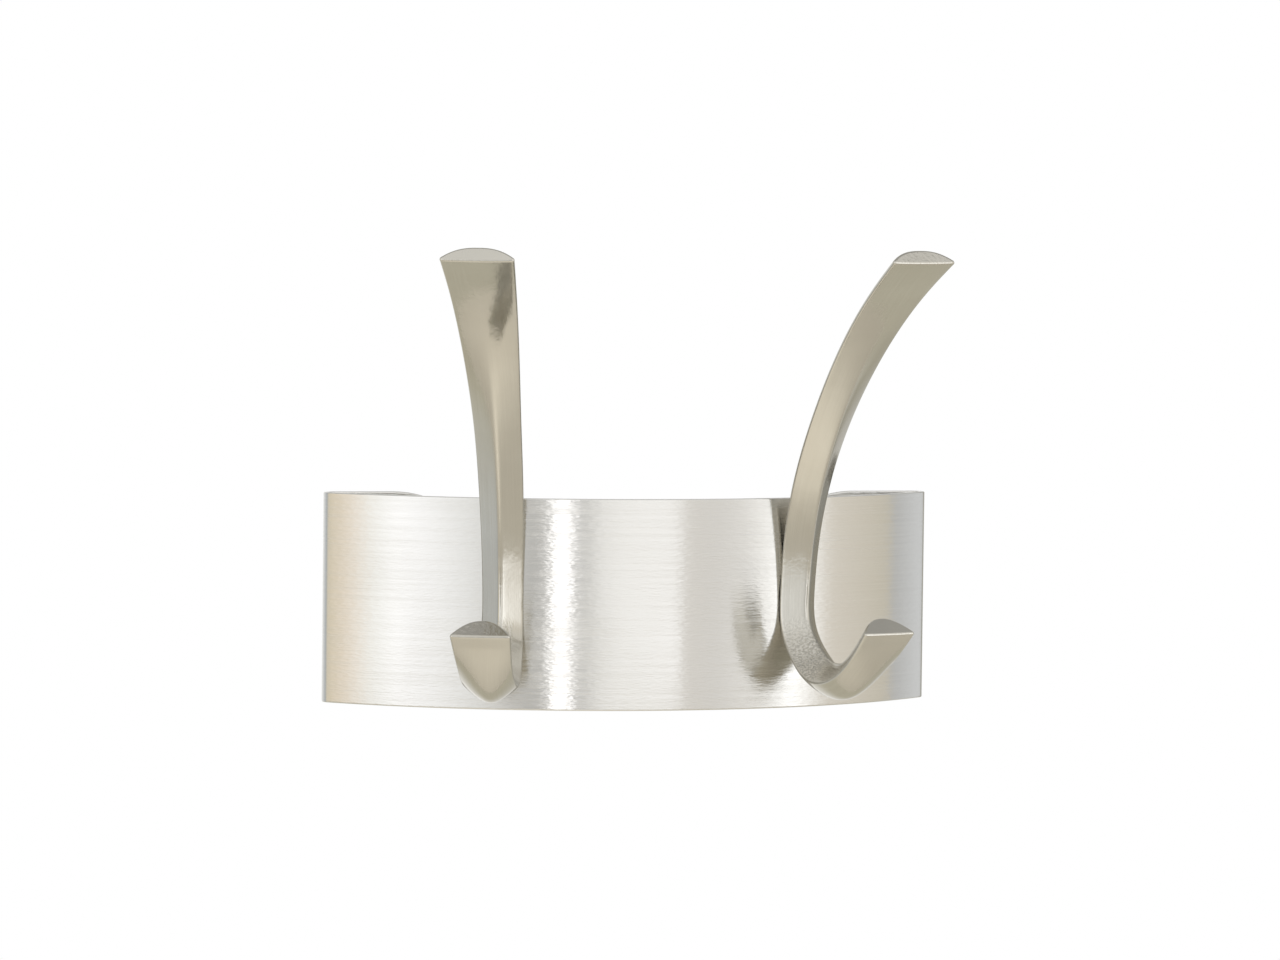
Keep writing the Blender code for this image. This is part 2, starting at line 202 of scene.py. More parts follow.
def strip_outline():
    """The loop round the strip: a place on the centre line and the direction out from it."""
    reach = HALF_LENGTH - EAR_ROUND
    face = np.linspace(0.0, FACE_LENGTH, round(FACE_LENGTH / FACE_CELL))
    bend = np.linspace(FACE_LENGTH, FACE_LENGTH + BEND_LENGTH, BEND_POINTS)[1:]
    ear = np.linspace(FACE_LENGTH + BEND_LENGTH, reach, EAR_POINTS)[1:]
    half = np.concatenate((face, bend, ear))
    run = np.concatenate((-half[:0:-1], half))
    end = np.linspace(math.pi / 2, -math.pi / 2, END_POINTS)[1:-1]
    centre = np.concatenate((run, np.full(end.size, reach),
                             run[::-1], np.full(end.size, -reach)))
    angle = np.concatenate((np.full(run.size, math.pi / 2), end,
                            np.full(run.size, -math.pi / 2), end - math.pi))
    return centre, angle


def strip_mesh():
    """The flat section carried round the outline, then rolled up."""
    distance, depth = strip_section()
    centre, angle = strip_outline()
    along = centre[:, None] + distance[None, :] * np.cos(angle)[:, None]
    height = distance[None, :] * np.sin(angle)[:, None]
    x, y = strip_place(along, np.broadcast_to(depth, along.shape))
    points = np.stack((x, y, height), axis=-1)
    faces = grid_faces(*along.shape, wrap_rows=True)
    return make_mesh("band_sheet", points, faces, flat=np.stack((along, height), axis=-1))


# %% Holes in the strip
KEYHOLE_X = HIGH.x - BEND_RADIUS - EAR_LENGTH + EAR_ROUND
SLOT_RADIUS = 2.3 * MM
HEAD_HOLE_RADIUS = 4.3 * MM
KEYHOLE_DROP = 9.0 * MM
EDGE_BREAK = 0.2 * MM            # the punched edges are eased by this much
THROUGH = 2.0 * MM               # how far a cutter runs past what it cuts
HOLE_RADIUS = 2.3 * MM
HOLE_STEPS = 40
HOOK_SPACING = 108.5 * MM
HOOK_ANGLE = math.asin(HOOK_SPACING / 2 / FACE_RADIUS)
SCREW_PITCH = 13.0 * MM


def keyhole_loop(grow):
    """The keyhole's outline, a slot's round end over a larger round, grown outwards.  The
    larger round stops where its half width is the slot's."""
    slot, head = SLOT_RADIUS + grow, HEAD_HOLE_RADIUS + grow
    join = math.acos(slot / head)
    top = np.linspace(0.0, math.pi, 25)
    low = np.linspace(math.pi - join, 2 * math.pi + join, 57)
    x = np.concatenate((slot * np.cos(top), head * np.cos(low)))
    z = np.concatenate((slot * np.sin(top) + KEYHOLE_DROP / 2,
                        head * np.sin(low) - KEYHOLE_DROP / 2))
    return x, z


def keyhole_cutter(side):
    """Keyhole outlines stacked through the ear, wider at both faces, which eases the edges."""
    levels = (THROUGH, 0.0, -EDGE_BREAK, EDGE_BREAK - SHEET, -SHEET, -SHEET - THROUGH)
    widest = EDGE_BREAK + 0.01 * MM
    growth = (widest, EDGE_BREAK, 0.0, 0.0, EDGE_BREAK, widest)
    loops = [np.stack((side * (KEYHOLE_X + x), np.full_like(x, level), z), axis=-1)
             for level, (x, z) in zip(levels, map(keyhole_loop, growth))]
    return prism_mesh("keyhole_tool", np.stack(loops))


def seat_matrix(side):
    """From a hook's own frame, whose face plane is y = 0, to its seat on the bowed face."""
    turn = side * HOOK_ANGLE
    place = Vector((FACE_RADIUS * math.sin(turn),
                    -BAND_DEPTH + FACE_RADIUS * (1 - math.cos(turn)), 0.0))
    return Matrix.Translation(place) @ Matrix.Rotation(turn, 4, "Z")


def rod_mesh(radius, start, end, height):
    """A closed cylinder along Y at a height, from y = start to y = end."""
    turn = np.linspace(0.0, 2 * math.pi, HOLE_STEPS, endpoint=False)
    loop = np.stack((radius * np.cos(turn), 0 * turn, height + radius * np.sin(turn)), axis=-1)
    return prism_mesh("rod_tool", np.stack((loop + (0, start, 0), loop + (0, end, 0))))


SIDES = (("left", -1), ("right", 1))
tools = [keyhole_cutter(side) for _, side in SIDES]
for _, side in SIDES:
    for step in (-0.5, 0.5):
        hole = rod_mesh(HOLE_RADIUS, -THROUGH, SHEET + THROUGH, step * SCREW_PITCH)
        hole.transform(seat_matrix(side))
        tools.append(hole)
band_mesh = finish_mesh(carve(strip_mesh(), tools))

# %% [markdown]
# Each hook is one casting.  Seen from the side it is a long S: an arm that rises and
# leans forward, a stem against the strip and a curl below.  Across, its section changes
# from a soft arch at the upper tip to a sharp ridge on the stem, and to a deep rounded
# belly in the curl.  Loft tools can do this, but a table of stations with a smooth curve
# through it keeps every number in view.  Each section is a thin core with a small disc
# rolled round it, which rounds all of its edges by the same amount.

# %% Stations down a hook
# forward, height, half width, crest, crest power, belly, belly power (mm)
HOOK_STATIONS = (
    (77.6, 125.1, 13.2, 0.2, 2.0, 5.0, 2.4), (62.6, 114.1, 12.0, 0.4, 2.0, 5.0, 2.4),
    (47.4, 100.4, 10.8, 1.1, 1.7, 4.8, 2.4), (33.0, 83.8, 9.6, 2.8, 1.3, 4.0, 2.8),
    (20.1, 64.9, 8.6, 4.6, 1.08, 3.0, 4.0), (10.0, 44.7, 8.1, 5.6, 1.0, 2.0, 6.5),
    (4.0, 24.8, 7.7, 6.0, 1.0, 1.6, 8.0), (1.5, 6.1, 7.4, 6.0, 1.0, 1.6, 8.0),
    (2.5, -9.0, 7.6, 6.0, 1.0, 1.6, 8.0), (10.4, -19.3, 8.5, 6.0, 1.0, 2.8, 4.0),
    (21.2, -25.8, 9.3, 6.0, 1.1, 5.4, 1.7), (32.0, -25.9, 9.6, 6.0, 1.4, 6.4, 1.5),
    (42.4, -21.3, 9.7, 6.2, 1.8, 4.6, 1.8), (51.2, -14.2, 10.2, 6.3, 2.0, 2.0, 2.4),
    (58.8, -6.4, 10.8, 6.4, 2.0, 0.2, 2.0))
SEAT_GAP = 0.3 * MM
EDGE_LAND = 0.4 * MM             # the front face's edge stands this far off the path
STEM_EDGE = 0.85 * MM            # radius of the disc rolled round the core
TIP_EDGE = 0.90 * MM             # and at the two tips
TIP_BLEND = 25 * MM              # length over which one radius becomes the other
RIDGE_SOFT = 0.045               # share of the half width that the ridge's rounding takes
RIM_GUARD = 0.2 * MM             # a narrow ring that keeps a tip's rounding out of the arm
LEAST_RISE = 0.1 * MM            # least crest or belly, so that no section folds flat
CROWDING = 0.9                   # how much the points crowd towards the ridge
CAP_SHRINK = 0.95                # each end's last ring is drawn in to this share
HOOK_RINGS, RIM_POINTS = 240, 7
FRONT_POINTS, BACK_POINTS = 41, 33
CORNER_STEPS = 7


def station_curve(rows, spacing):
    """Values on a natural cubic curve through the rows: a cubic joins each pair of rows,
    with equal slope and bend where two cubics meet.  Spacing turns the path's length into
    the distances at which the curve is read."""
    rows = np.asarray(rows) * MM
    steps = np.hypot(*np.diff(rows[:, :2], axis=0).T)
    knots = np.concatenate(([0.0], np.cumsum(steps)))
    inner = np.arange(1, len(rows) - 1)
    system = np.eye(len(rows))
    system[inner, inner - 1], system[inner, inner + 1] = steps[:-1], steps[1:]
    system[inner, inner] = 2 * (steps[:-1] + steps[1:])
    slopes = np.diff(rows, axis=0) / steps[:, None]
    bend = np.linalg.solve(system, np.pad(6 * np.diff(slopes, axis=0), ((1, 1), (0, 0))))
    where = spacing(knots[-1])
    i = np.clip(np.searchsorted(knots, where, side="right") - 1, 0, len(steps) - 1)
    width, past = steps[i][:, None], (where - knots[i])[:, None]
    short = width - past
    values = (bend[i] * short ** 3 / (6 * width) + bend[i + 1] * past ** 3 / (6 * width)
              + (rows[i] / width - bend[i] * width / 6) * short
              + (rows[i + 1] / width - bend[i + 1] * width / 6) * past)
    return where, values


# %% Where the hook's rings lie
def hook_distances(length):
    """Distances down the hook: close together at each tip, to round its rim."""
    turn = np.linspace(math.pi / 2, 0.0, RIM_POINTS)
    rim = TIP_EDGE * (1 - np.sin(turn))
    body = np.linspace(TIP_EDGE, length - TIP_EDGE, HOOK_RINGS)[1:-1]
    guard = TIP_EDGE + RIM_GUARD
    return np.concatenate((rim, [guard], body, [length - guard], length - rim[::-1]))


def disc_radius(distance, length):
    """The rolling disc's radius: largest near the tips, falling away over each rim as the
    height of a quarter circle does."""
    tip = np.minimum(distance, length - distance)
    blend = np.clip(tip / TIP_BLEND, 0.0, 1.0)
    plain = TIP_EDGE + (STEM_EDGE - TIP_EDGE) * blend * blend * (3 - 2 * blend)
    inside = np.clip(tip / TIP_EDGE, 0.0, 1.0)
    return plain * np.sqrt(1 - (1 - inside) ** 2), plain


# %% One ring of the hook after another
def side_profile(height, power, across, soft):
    """Height of one side of the core, one less the soft distance from the middle raised
    to the power, and its slope.  The soft distance is the height of a hyperbola, which is
    round at the middle and straight beyond."""
    reach = np.sqrt(across ** 2 + soft ** 2)
    span = math.sqrt(1 + soft ** 2) - soft
    away = np.maximum((reach - soft) / span, 1e-9)
    slope = -height * power * away ** (power - 1) * (across / reach / span)
    return height * (1 - away ** power), slope


def hook_rings():
    """Every point of the hook: core plus disc, set square to the path, as rings of
    (sideways, towards the wall, up)."""
    where, rows = station_curve(HOOK_STATIONS, hook_distances)
    disc, plain = disc_radius(where, where[-1])
    path = rows[:, :2]
    slope = np.gradient(path, where, axis=0)
    slope /= np.linalg.norm(slope, axis=1)[:, None]
    inward = np.stack((-slope[:, 1], slope[:, 0]), axis=1)
    shift = (plain - EDGE_LAND)[:, None]
    crest = np.maximum(rows[:, 3, None], LEAST_RISE)
    belly = np.maximum(rows[:, 5, None] - 2 * shift, LEAST_RISE)
    crest_power, belly_power = (np.maximum(rows[:, i, None] / MM, 1.0) for i in (4, 6))
    core = (rows[:, 2] - plain)[:, None]
    front = np.linspace(-1.0, 1.0, FRONT_POINTS)
    front = front * np.abs(front) ** CROWDING
    back = np.sin(np.linspace(-math.pi / 2, math.pi / 2, BACK_POINTS))
    top, top_slope = side_profile(crest, crest_power, front, RIDGE_SOFT)
    low, low_slope = side_profile(belly, belly_power, back, RIDGE_SOFT)
    top_angle = np.arctan2(1.0, -top_slope / core)
    low_angle = np.arctan2(-1.0, -low_slope / core)
    share = np.linspace(0.0, 1.0, CORNER_STEPS + 2)[1:-1]
    corner = top_angle[:, -1:] + (low_angle[:, -1:] - top_angle[:, -1:]) * share
    zero = np.zeros_like(corner)
    angle = np.hstack((top_angle, corner, low_angle[:, ::-1], math.pi - corner[:, ::-1]))
    side = np.hstack((core * front, core + zero, core * back[::-1], zero - core))
    offset = np.hstack((top, zero, -low[:, ::-1], zero)) - shift
    side = side + disc[:, None] * np.cos(angle)
    offset = offset + disc[:, None] * np.sin(angle)
    forward = np.maximum(path[:, :1] + inward[:, :1] * offset, SEAT_GAP)
    height = path[:, 1:] + inward[:, 1:] * offset
    return np.stack((side, -forward, height), axis=-1), where


def hook_mesh():
    """The rings joined, each tip closed by its last ring drawn slightly in and filled."""
    rings, where = hook_rings()
    ends = [rings[i].mean(axis=0) + CAP_SHRINK * (rings[i] - rings[i].mean(axis=0))
            for i in (0, -1)]
    rings = np.concatenate((ends[:1], rings, ends[1:]))
    where = np.concatenate((where[:1], where, where[-1:]))
    girth = np.linalg.norm(np.diff(rings, axis=1, prepend=rings[:, -1:]), axis=-1).cumsum(axis=1)
    flat = np.stack((girth, np.broadcast_to(where[:, None], girth.shape)), axis=-1)
    faces = grid_faces(*rings.shape[:2], wrap_columns=True)
    return make_mesh("hook_bar", rings, faces, end_caps(rings), flat)


BLIND_DEPTH = 5.1 * MM
tapped = [rod_mesh(HOLE_RADIUS, -BLIND_DEPTH, THROUGH, step * SCREW_PITCH)
          for step in (-0.5, 0.5)]
one_hook = finish_mesh(carve(hook_mesh(), tapped))
HOOK_LENGTH = station_curve(HOOK_STATIONS, hook_distances)[0][-1]
print(f"a hook is {HOOK_LENGTH / MM:.1f} mm long down its path")

# %% [markdown]
# Behind the strip each hook is held by two screws.  A screw and a washer are turned
# pieces: a profile swept round an axis.  A spring washer is the same kind of sweep that
# stops short of a full turn and climbs a little, so its two ends stand apart.


# %% Turned pieces
TURN_STEPS, SOFT_STEPS = 72, 5


def soften(corners, reach):
    """Round a polygon's corners: each becomes a parabola that starts and ends at a distance
    reach from the corner, along its two sides."""
    corners = np.asarray(corners, float)
    before = np.roll(corners, 1, axis=0) - corners
    after = np.roll(corners, -1, axis=0) - corners
    reach = np.broadcast_to(np.asarray(reach, float), len(corners))[:, None]
    t = np.linspace(0.0, 1.0, SOFT_STEPS)[None, :, None]
    start = corners + reach * before / np.linalg.norm(before, axis=1)[:, None]
    stop = corners + reach * after / np.linalg.norm(after, axis=1)[:, None]
    curve = ((1 - t) ** 2 * start[:, None] + 2 * t * (1 - t) * corners[:, None]
             + t ** 2 * stop[:, None])
    return curve.reshape(-1, 2)


def turned_mesh(name, profile, closed=False):
    """A profile of (radius, height) swept round the axis; a closed one is a ring's section."""
    turn = np.linspace(0.0, 2 * math.pi, TURN_STEPS, endpoint=False)[:, None]
    radius, height = profile[None, :, 0], profile[None, :, 1]
    points = np.stack((radius * np.cos(turn), radius * np.sin(turn), height + 0 * turn), axis=-1)
    faces = grid_faces(*points.shape[:2], wrap_rows=True, wrap_columns=closed)
    return make_mesh(name, points, faces)


# %% Screws and washers
HEAD_RADIUS, HEAD_HEIGHT, SHANK_RADIUS = 4.0 * MM, 2.6 * MM, 2.0 * MM
CROWN_RADIUS, CROWN_DIP = 2.6 * MM, 0.35 * MM    # gently domed middle of the head
HEAD_SHOULDER = (3.75 * MM, 1.75 * MM)           # radius, height
HEAD_SKIRT = 0.5 * MM                            # height of the head's upright rim
HEAD_EASE = 0.15 * MM                            # undercut below that rim
SCREW_LEAD = 0.5 * MM
RECESS_HALF, RECESS_SLOT = 2.2 * MM, 0.45 * MM   # half length and half width of a slot
# height of a recess layer above the head's seat, and its size against the nominal cross
RECESS_LAYERS = ((HEAD_HEIGHT + MM, 1.12), (HEAD_HEIGHT - 0.2 * MM, 1.0),
                 (HEAD_HEIGHT - 1.5 * MM, 0.55))
SCREW_REACH, STACK_GAP = 4.6 * MM, 0.3 * MM
FLAT_WASHER = (4.5 * MM, 0.8 * MM)       # outer radius, thickness
SPRING_WASHER = (3.8 * MM, 1.0 * MM)
FLAT_EASE, SPRING_EASE = 0.15 * MM, 0.16 * MM
SPLIT, SPLIT_SLANT = 0.9 * MM, math.radians(20)
SPRING_CLIMB, SPRING_STEPS = 0.4 * MM, 97
FLAT_AT = SHEET + STACK_GAP
SPRING_AT = FLAT_AT + FLAT_WASHER[1] + STACK_GAP
HEAD_AT = SPRING_AT + SPRING_WASHER[1] + STACK_GAP


def screw_mesh():
    """Pan head, shank and a small lead at its end, with a tapered cross recess."""
    length = HEAD_AT + SCREW_REACH
    dome = np.linspace(0.0, 1.0, 9)[:, None]
    crown = np.hstack((CROWN_RADIUS * dome, HEAD_HEIGHT - CROWN_DIP * dome ** 2))
    rim = soften(((CROWN_RADIUS, HEAD_HEIGHT - CROWN_DIP), HEAD_SHOULDER,
                  (HEAD_RADIUS, HEAD_SKIRT), (HEAD_RADIUS - HEAD_EASE, 0.0),
                  (SHANK_RADIUS, 0.0)), (0, 0.5 * MM, 0.3 * MM, 0.12 * MM, 0))
    shank = np.array(((SHANK_RADIUS, SCREW_LEAD - length),
                      (SHANK_RADIUS - SCREW_LEAD, -length), (0, -length)))
    body = turned_mesh("screw", np.vstack((crown, rim, shank)))
    quarter = np.array(((RECESS_HALF, -RECESS_SLOT), (RECESS_HALF, RECESS_SLOT),
                        (RECESS_SLOT, RECESS_SLOT)))
    turns = [np.array(((math.cos(a), -math.sin(a)), (math.sin(a), math.cos(a))))
             for a in np.arange(4) * math.pi / 2]
    star = np.vstack([quarter @ turn.T for turn in turns])
    layers = [np.column_stack((star * scale, np.full(len(star), level)))
              for level, scale in RECESS_LAYERS]
    return finish_mesh(carve(body, [prism_mesh("recess_tool", np.stack(layers))]))


def ring_mesh(name, size, ease):
    """A flat washer: a rectangle with eased corners, turned."""
    inner, (outer, thick) = HOLE_RADIUS, size
    corners = ((outer, thick), (outer, 0.0), (inner, 0.0), (inner, thick))
    return finish_mesh(turned_mesh(name, soften(corners, ease), closed=True))


def spring_mesh():
    """A square section carried almost once round while it climbs; each end is slanted,
    because a point's angle grows with its height in the section."""
    inner, (outer, thick) = HOLE_RADIUS, SPRING_WASHER
    section = soften(((outer, thick), (outer, 0.0), (inner, 0.0), (inner, thick)), SPRING_EASE)
    gap = SPLIT / outer
    turn = np.linspace(gap / 2, 2 * math.pi - gap / 2, SPRING_STEPS)[:, None]
    radius, height = section[None, :, 0], section[None, :, 1]
    angle = turn + np.tan(SPLIT_SLANT) * (height - thick / 2) / outer
    climb = SPRING_CLIMB * (turn / (2 * math.pi) - 0.5)
    points = np.stack((radius * np.cos(angle), radius * np.sin(angle), height + climb), axis=-1)
    faces = grid_faces(*points.shape[:2], wrap_columns=True)
    return finish_mesh(make_mesh("spring", points, faces, end_caps(points)))


fixing_meshes = {"screw": (screw_mesh(), HEAD_AT),
                 "flat_washer": (ring_mesh("washer", FLAT_WASHER, FLAT_EASE), FLAT_AT),
                 "spring_washer": (spring_mesh(), SPRING_AT)}
print({name: len(mesh.polygons) for name, (mesh, _) in fixing_meshes.items()})

# %% [markdown]
# Each piece now takes the place of its engineering solid.  Its mesh is moved to where it
# belongs, so its object stays at the origin, and it rides on the rack's one body.


# %% Put each piece in its place
def place(name, mesh, node, slot_name, matrix=Matrix()):
    """One finished piece, standing for one node of the engineering model."""
    mesh = mesh.copy()
    mesh.transform(matrix)
    mesh.name = name
    piece = bpy.data.objects.new(name, mesh)
    bpy.context.scene.collection.objects.link(piece)
    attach(piece, "root")
    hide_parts(node)
    return piece


SLOTS = {"screw": "zinc_plated_steel", "flat_washer": "zinc_plated_steel",
         "spring_washer": "spring_steel"}
pieces = {"brushed_stainless": [place("band_sheet", band_mesh, "band", "brushed_stainless")],
          "satin_nickel": [], "zinc_plated_steel": [], "spring_steel": []}
SPIN_START, SPIN_EACH, SPIN_SIDE = 23, 61, 37     # degrees: no two fixings stop alike
for label, side in SIDES:
    seat = seat_matrix(side)
    pieces["satin_nickel"].append(
        place(label + "_hook_bar", one_hook, label + "_hook", "satin_nickel", seat))
    for level, step in (("upper", 0.5), ("lower", -0.5)):
        for number, (kind, (mesh, distance)) in enumerate(fixing_meshes.items()):
            angle = SPIN_START + SPIN_EACH * number + SPIN_SIDE * step * side
            spin = Matrix.Rotation(math.radians(angle), 4, "Z")
            stand = (Matrix.Translation((0.0, distance, step * SCREW_PITCH))
                     @ Matrix.Rotation(-math.pi / 2, 4, "X"))
            node, slot = f"{label}_{level}_{kind}", SLOTS[kind]
            pieces[slot].append(place(node + "_piece", mesh, node, slot, seat @ stand @ spin))
for name, made in pieces.items():
    print(name, [item.name for item in made])

# %% [markdown]
# A finish is worked out by nodes.  Sums on sockets read badly as a list of nodes, so one
# small class wraps a socket and lets Python's own signs build them.


# %% Shader sums in Python
class Wire:
    """A socket that takes part in sums; any other node comes from node()."""

    def __init__(self, tree, socket=None):
        self.tree, self.socket = tree, socket

    def node(self, kind, inputs=None, out=0, stops=None, **settings):
        """Add a node: its type, the values or links of its sockets, and its settings."""
        made = self.tree.nodes.new("ShaderNode" + kind)
        for name, value in settings.items():
            setattr(made, name, value)
        if stops:
            ramp = made.color_ramp
            while len(ramp.elements) < len(stops):
                ramp.elements.new(0.5)
            for element, (position, colour) in zip(ramp.elements, stops):
                element.position, element.color = position, (*colour, 1.0)
        for name, value in (inputs or {}).items():
            if isinstance(value, Wire):
                self.tree.links.new(value.socket, made.inputs[name])
            else:
                made.inputs[name].default_value = value
        return Wire(self.tree, made.outputs[out])

    def math(self, operation, other=0.0):
        return self.node("Math", {0: self, 1: other}, operation=operation)

    def __add__(self, other):
        return self.math("ADD", other)

    def __mul__(self, other):
        return self.math("MULTIPLY", other)

    def __sub__(self, other):
        return self.math("SUBTRACT", other)

    def __rsub__(self, other):
        return self.node("Math", {0: other, 1: self}, operation="SUBTRACT")

    __radd__, __rmul__ = __add__, __mul__

    def stretch(self, x, y, z):
        """Coordinates scaled along each axis."""
        return self.node("Mapping", {"Vector": self, "Scale": (x, y, z)})

    def noise(self, scale, detail=3.0, rough=0.55):
        """Noise around a half."""
        return self.node("TexNoise", {"Vector": self, "Scale": scale, "Detail": detail,
                                      "Roughness": rough})

    def mix(self, low, high):
        """This value, 0 to 1, chooses between two colours."""
        return self.node("Mix", {0: self, 6: low, 7: high}, out=2, data_type="RGBA")

    def band(self, low, high):
        """This value, spread so that low becomes 0 and high becomes 1, and held there."""
        return self.node("MapRange", {"Value": self, "From Min": low, "From Max": high})


def start_metal(name, **constants):
    """A metal's material, its shader and a wire to begin from."""
    material = bpy.data.materials.new(name)
    material.use_nodes = True
    shader = material.node_tree.nodes["Principled BSDF"]
    shader.inputs["Metallic"].default_value = 1.0
    for socket, value in constants.items():
        shader.inputs[socket.replace("_", " ")].default_value = value
    return material, shader, Wire(material.node_tree)


def feed(shader, **wires):
    """Link wires to the shader's sockets."""
    for socket, wire in wires.items():
        wire.tree.links.new(wire.socket, shader.inputs[socket.replace("_", " ")])


# %% [markdown]
# Brushing a sheet scores it with countless fine lines, all along its length.  They
# spread a reflection across the lines far more than along them, which a Principled
# shader calls anisotropy.  Streak noise, stretched hundreds of times along the unrolled
# strip, then varies the roughness and the bump from line to line, so that the edge of
# each reflection is ragged.  Short ripples across the lines fray it further.

# %% Brushed stainless steel
steel, shader, start = start_metal("brushed_stainless_finish",
                                   Anisotropic=0.90, Anisotropic_Rotation=0.25)
sheet = start.node("UVMap", uv_map="unrolled")
fine = sheet.stretch(16.0, 5200.0, 1.0).noise(1.0, 4.0, 0.6).band(0.3, 0.7)
coarse = sheet.stretch(9.0, 620.0, 1.0).noise(1.0, 3.0, 0.6).band(0.36, 0.64)
ripple = sheet.stretch(330.0, 1500.0, 1.0).noise(1.0, 1.0, 0.5)
patch = start.node("TexCoord", out="Object").noise(22.0, 3.0).band(0.3, 0.7)
scratch = sheet.stretch(11.0, 2300.0, 1.0).noise(1.0, 1.0).band(0.66, 0.72)
tone = 0.5 * fine + 0.3 * coarse + 0.2 * patch
relief = 0.3 * fine + 0.3 * coarse - 0.4 * scratch + 10.0 * ripple
feed(shader,
     Base_Color=tone.mix((0.850, 0.832, 0.798, 1.0), (0.940, 0.930, 0.905, 1.0)),
     Roughness=0.06 + 0.10 * coarse + 0.05 * fine + 0.10 * patch + 0.05 * scratch,
     Normal=start.node("Bump", {"Strength": 0.22, "Distance": 0.02 * MM, "Height": relief}))

# %% [markdown]
# The hooks are cast, ground, polished and plated in nickel with a satin lustre.  Grinding
# by hand leaves the surface slightly wavy, so reflections swim; the plating is a warm
# grey.  Fine lines run down each hook and the two tips are a little dimpled.  The hollow
# of the lower bend, which no wheel reaches, keeps a cast grain in its bump, and there its
# colour is darkened in speckles: painted shade.

# %% Satin nickel
nickel, shader, start = start_metal("satin_nickel_finish")
body = start.node("TexCoord", out="Object")
loft = start.node("UVMap", uv_map="unrolled")
swim = body.noise(70.0, 2.0, 0.45)
cloud = body.noise(26.0, 4.0)
dimple = body.noise(620.0, 3.0, 0.55)
grain = body.noise(5200.0, 2.0)
lines = loft.stretch(2600.0, 22.0, 1.0).noise(1.0, 3.0, 0.6)
smudge = body.noise(120.0, 5.0, 0.65).band(0.45, 0.75)
down = loft.node("SeparateXYZ", {0: loft}, out="Y")
across = loft.node("SeparateXYZ", {0: loft}, out="X")
TIP_FADE, TIP_FULL = 1.0 * MM, 0.4 * MM             # from each end of the hook
HOLLOW_START, HOLLOW_END = (156 * MM, 172 * MM), (194 * MM, 186 * MM)   # down the hook
HOLLOW_SIDE = (16 * MM, 15 * MM)                    # round the section: its inner side
tip = (down.band(TIP_FADE, TIP_FULL)
       + down.band(HOOK_LENGTH - TIP_FADE, HOOK_LENGTH - TIP_FULL))
# the hollow of the curl: a mask for its grain bump and for the painted shade in its colour
hollow_shade_and_grain = down.band(*HOLLOW_START) * down.band(*HOLLOW_END) * across.band(*HOLLOW_SIDE)
# speckles for the hollow's grain bump and for its speckled painted shade
grain_and_shade_speckle = body.noise(1300.0, 2.0, 0.6).band(0.42, 0.62)
plating = (0.6 * cloud + 0.4 * lines).band(0.35, 0.68)
sheen = plating.mix((0.700, 0.668, 0.598, 1.0), (0.800, 0.775, 0.708, 1.0))
relief = (7.0 * swim + (0.9 + 1.8 * tip) * dimple + 4.0 * hollow_shade_and_grain * grain_and_shade_speckle
          + 0.10 * lines + 0.05 * grain)
# in the base colour the speckled darkening in the curl's hollow is painted shade
feed(shader,
     Base_Color=(0.45 * hollow_shade_and_grain * grain_and_shade_speckle).mix(sheen, (0.30, 0.29, 0.26, 1.0)),
     Roughness=0.06 + 0.08 * cloud + 0.04 * lines + 0.04 * smudge,
     Normal=start.node("Bump", {"Strength": 0.5, "Distance": 0.05 * MM, "Height": relief}))

# %% [markdown]
# The screws and flat washers are zinc plated: a cool grey with a faint blue and straw
# bloom.  The spring washers are plain spring steel, darker and oily.


# %% Zinc and spring steel
def plated(name, low, high, gloss):
    """A small part's finish: two tones in clouds, a fine grain and uneven gloss."""
    material, shader, start = start_metal(name)
    body = start.node("TexCoord", out="Object")
    cloud, grain = body.noise(420.0, 3.0), body.noise(3800.0, 3.0, 0.6)
    relief = 0.6 * grain + cloud
    feed(shader,
         Base_Color=cloud.band(0.35, 0.65).mix((*low, 1.0), (*high, 1.0)),
         Roughness=gloss + 0.16 * cloud + 0.10 * grain,
         Normal=start.node("Bump", {"Strength": 0.3, "Distance": 0.02 * MM, "Height": relief}))
    return material


finishes = {"brushed_stainless": steel, "satin_nickel": nickel,
            "zinc_plated_steel": plated("zinc_plate_finish", (0.60, 0.63, 0.68),
                                        (0.74, 0.73, 0.68), 0.20),
            "spring_steel": plated("spring_steel_finish", (0.16, 0.155, 0.15),
                                   (0.26, 0.25, 0.24), 0.28)}
for slot_name, made in pieces.items():
    for item in made:
        item.data.materials.clear()
        item.data.materials.append(finishes[slot_name])
print("finishes:", sorted(material.name for material in finishes.values()))

# %% [markdown]
# Metal shows little of its own: it shows the room.  The room could be built from walls
# and lamps, but tones round the horizon are simpler and quieter to render.  It is a pale
# studio, warmer at both sides and darker underfoot and overhead.  One narrow bright tone
# draws the stripe down the bowed face, and light that has met the metal twice finds the
# room dimmer, as the corners between two pieces are.

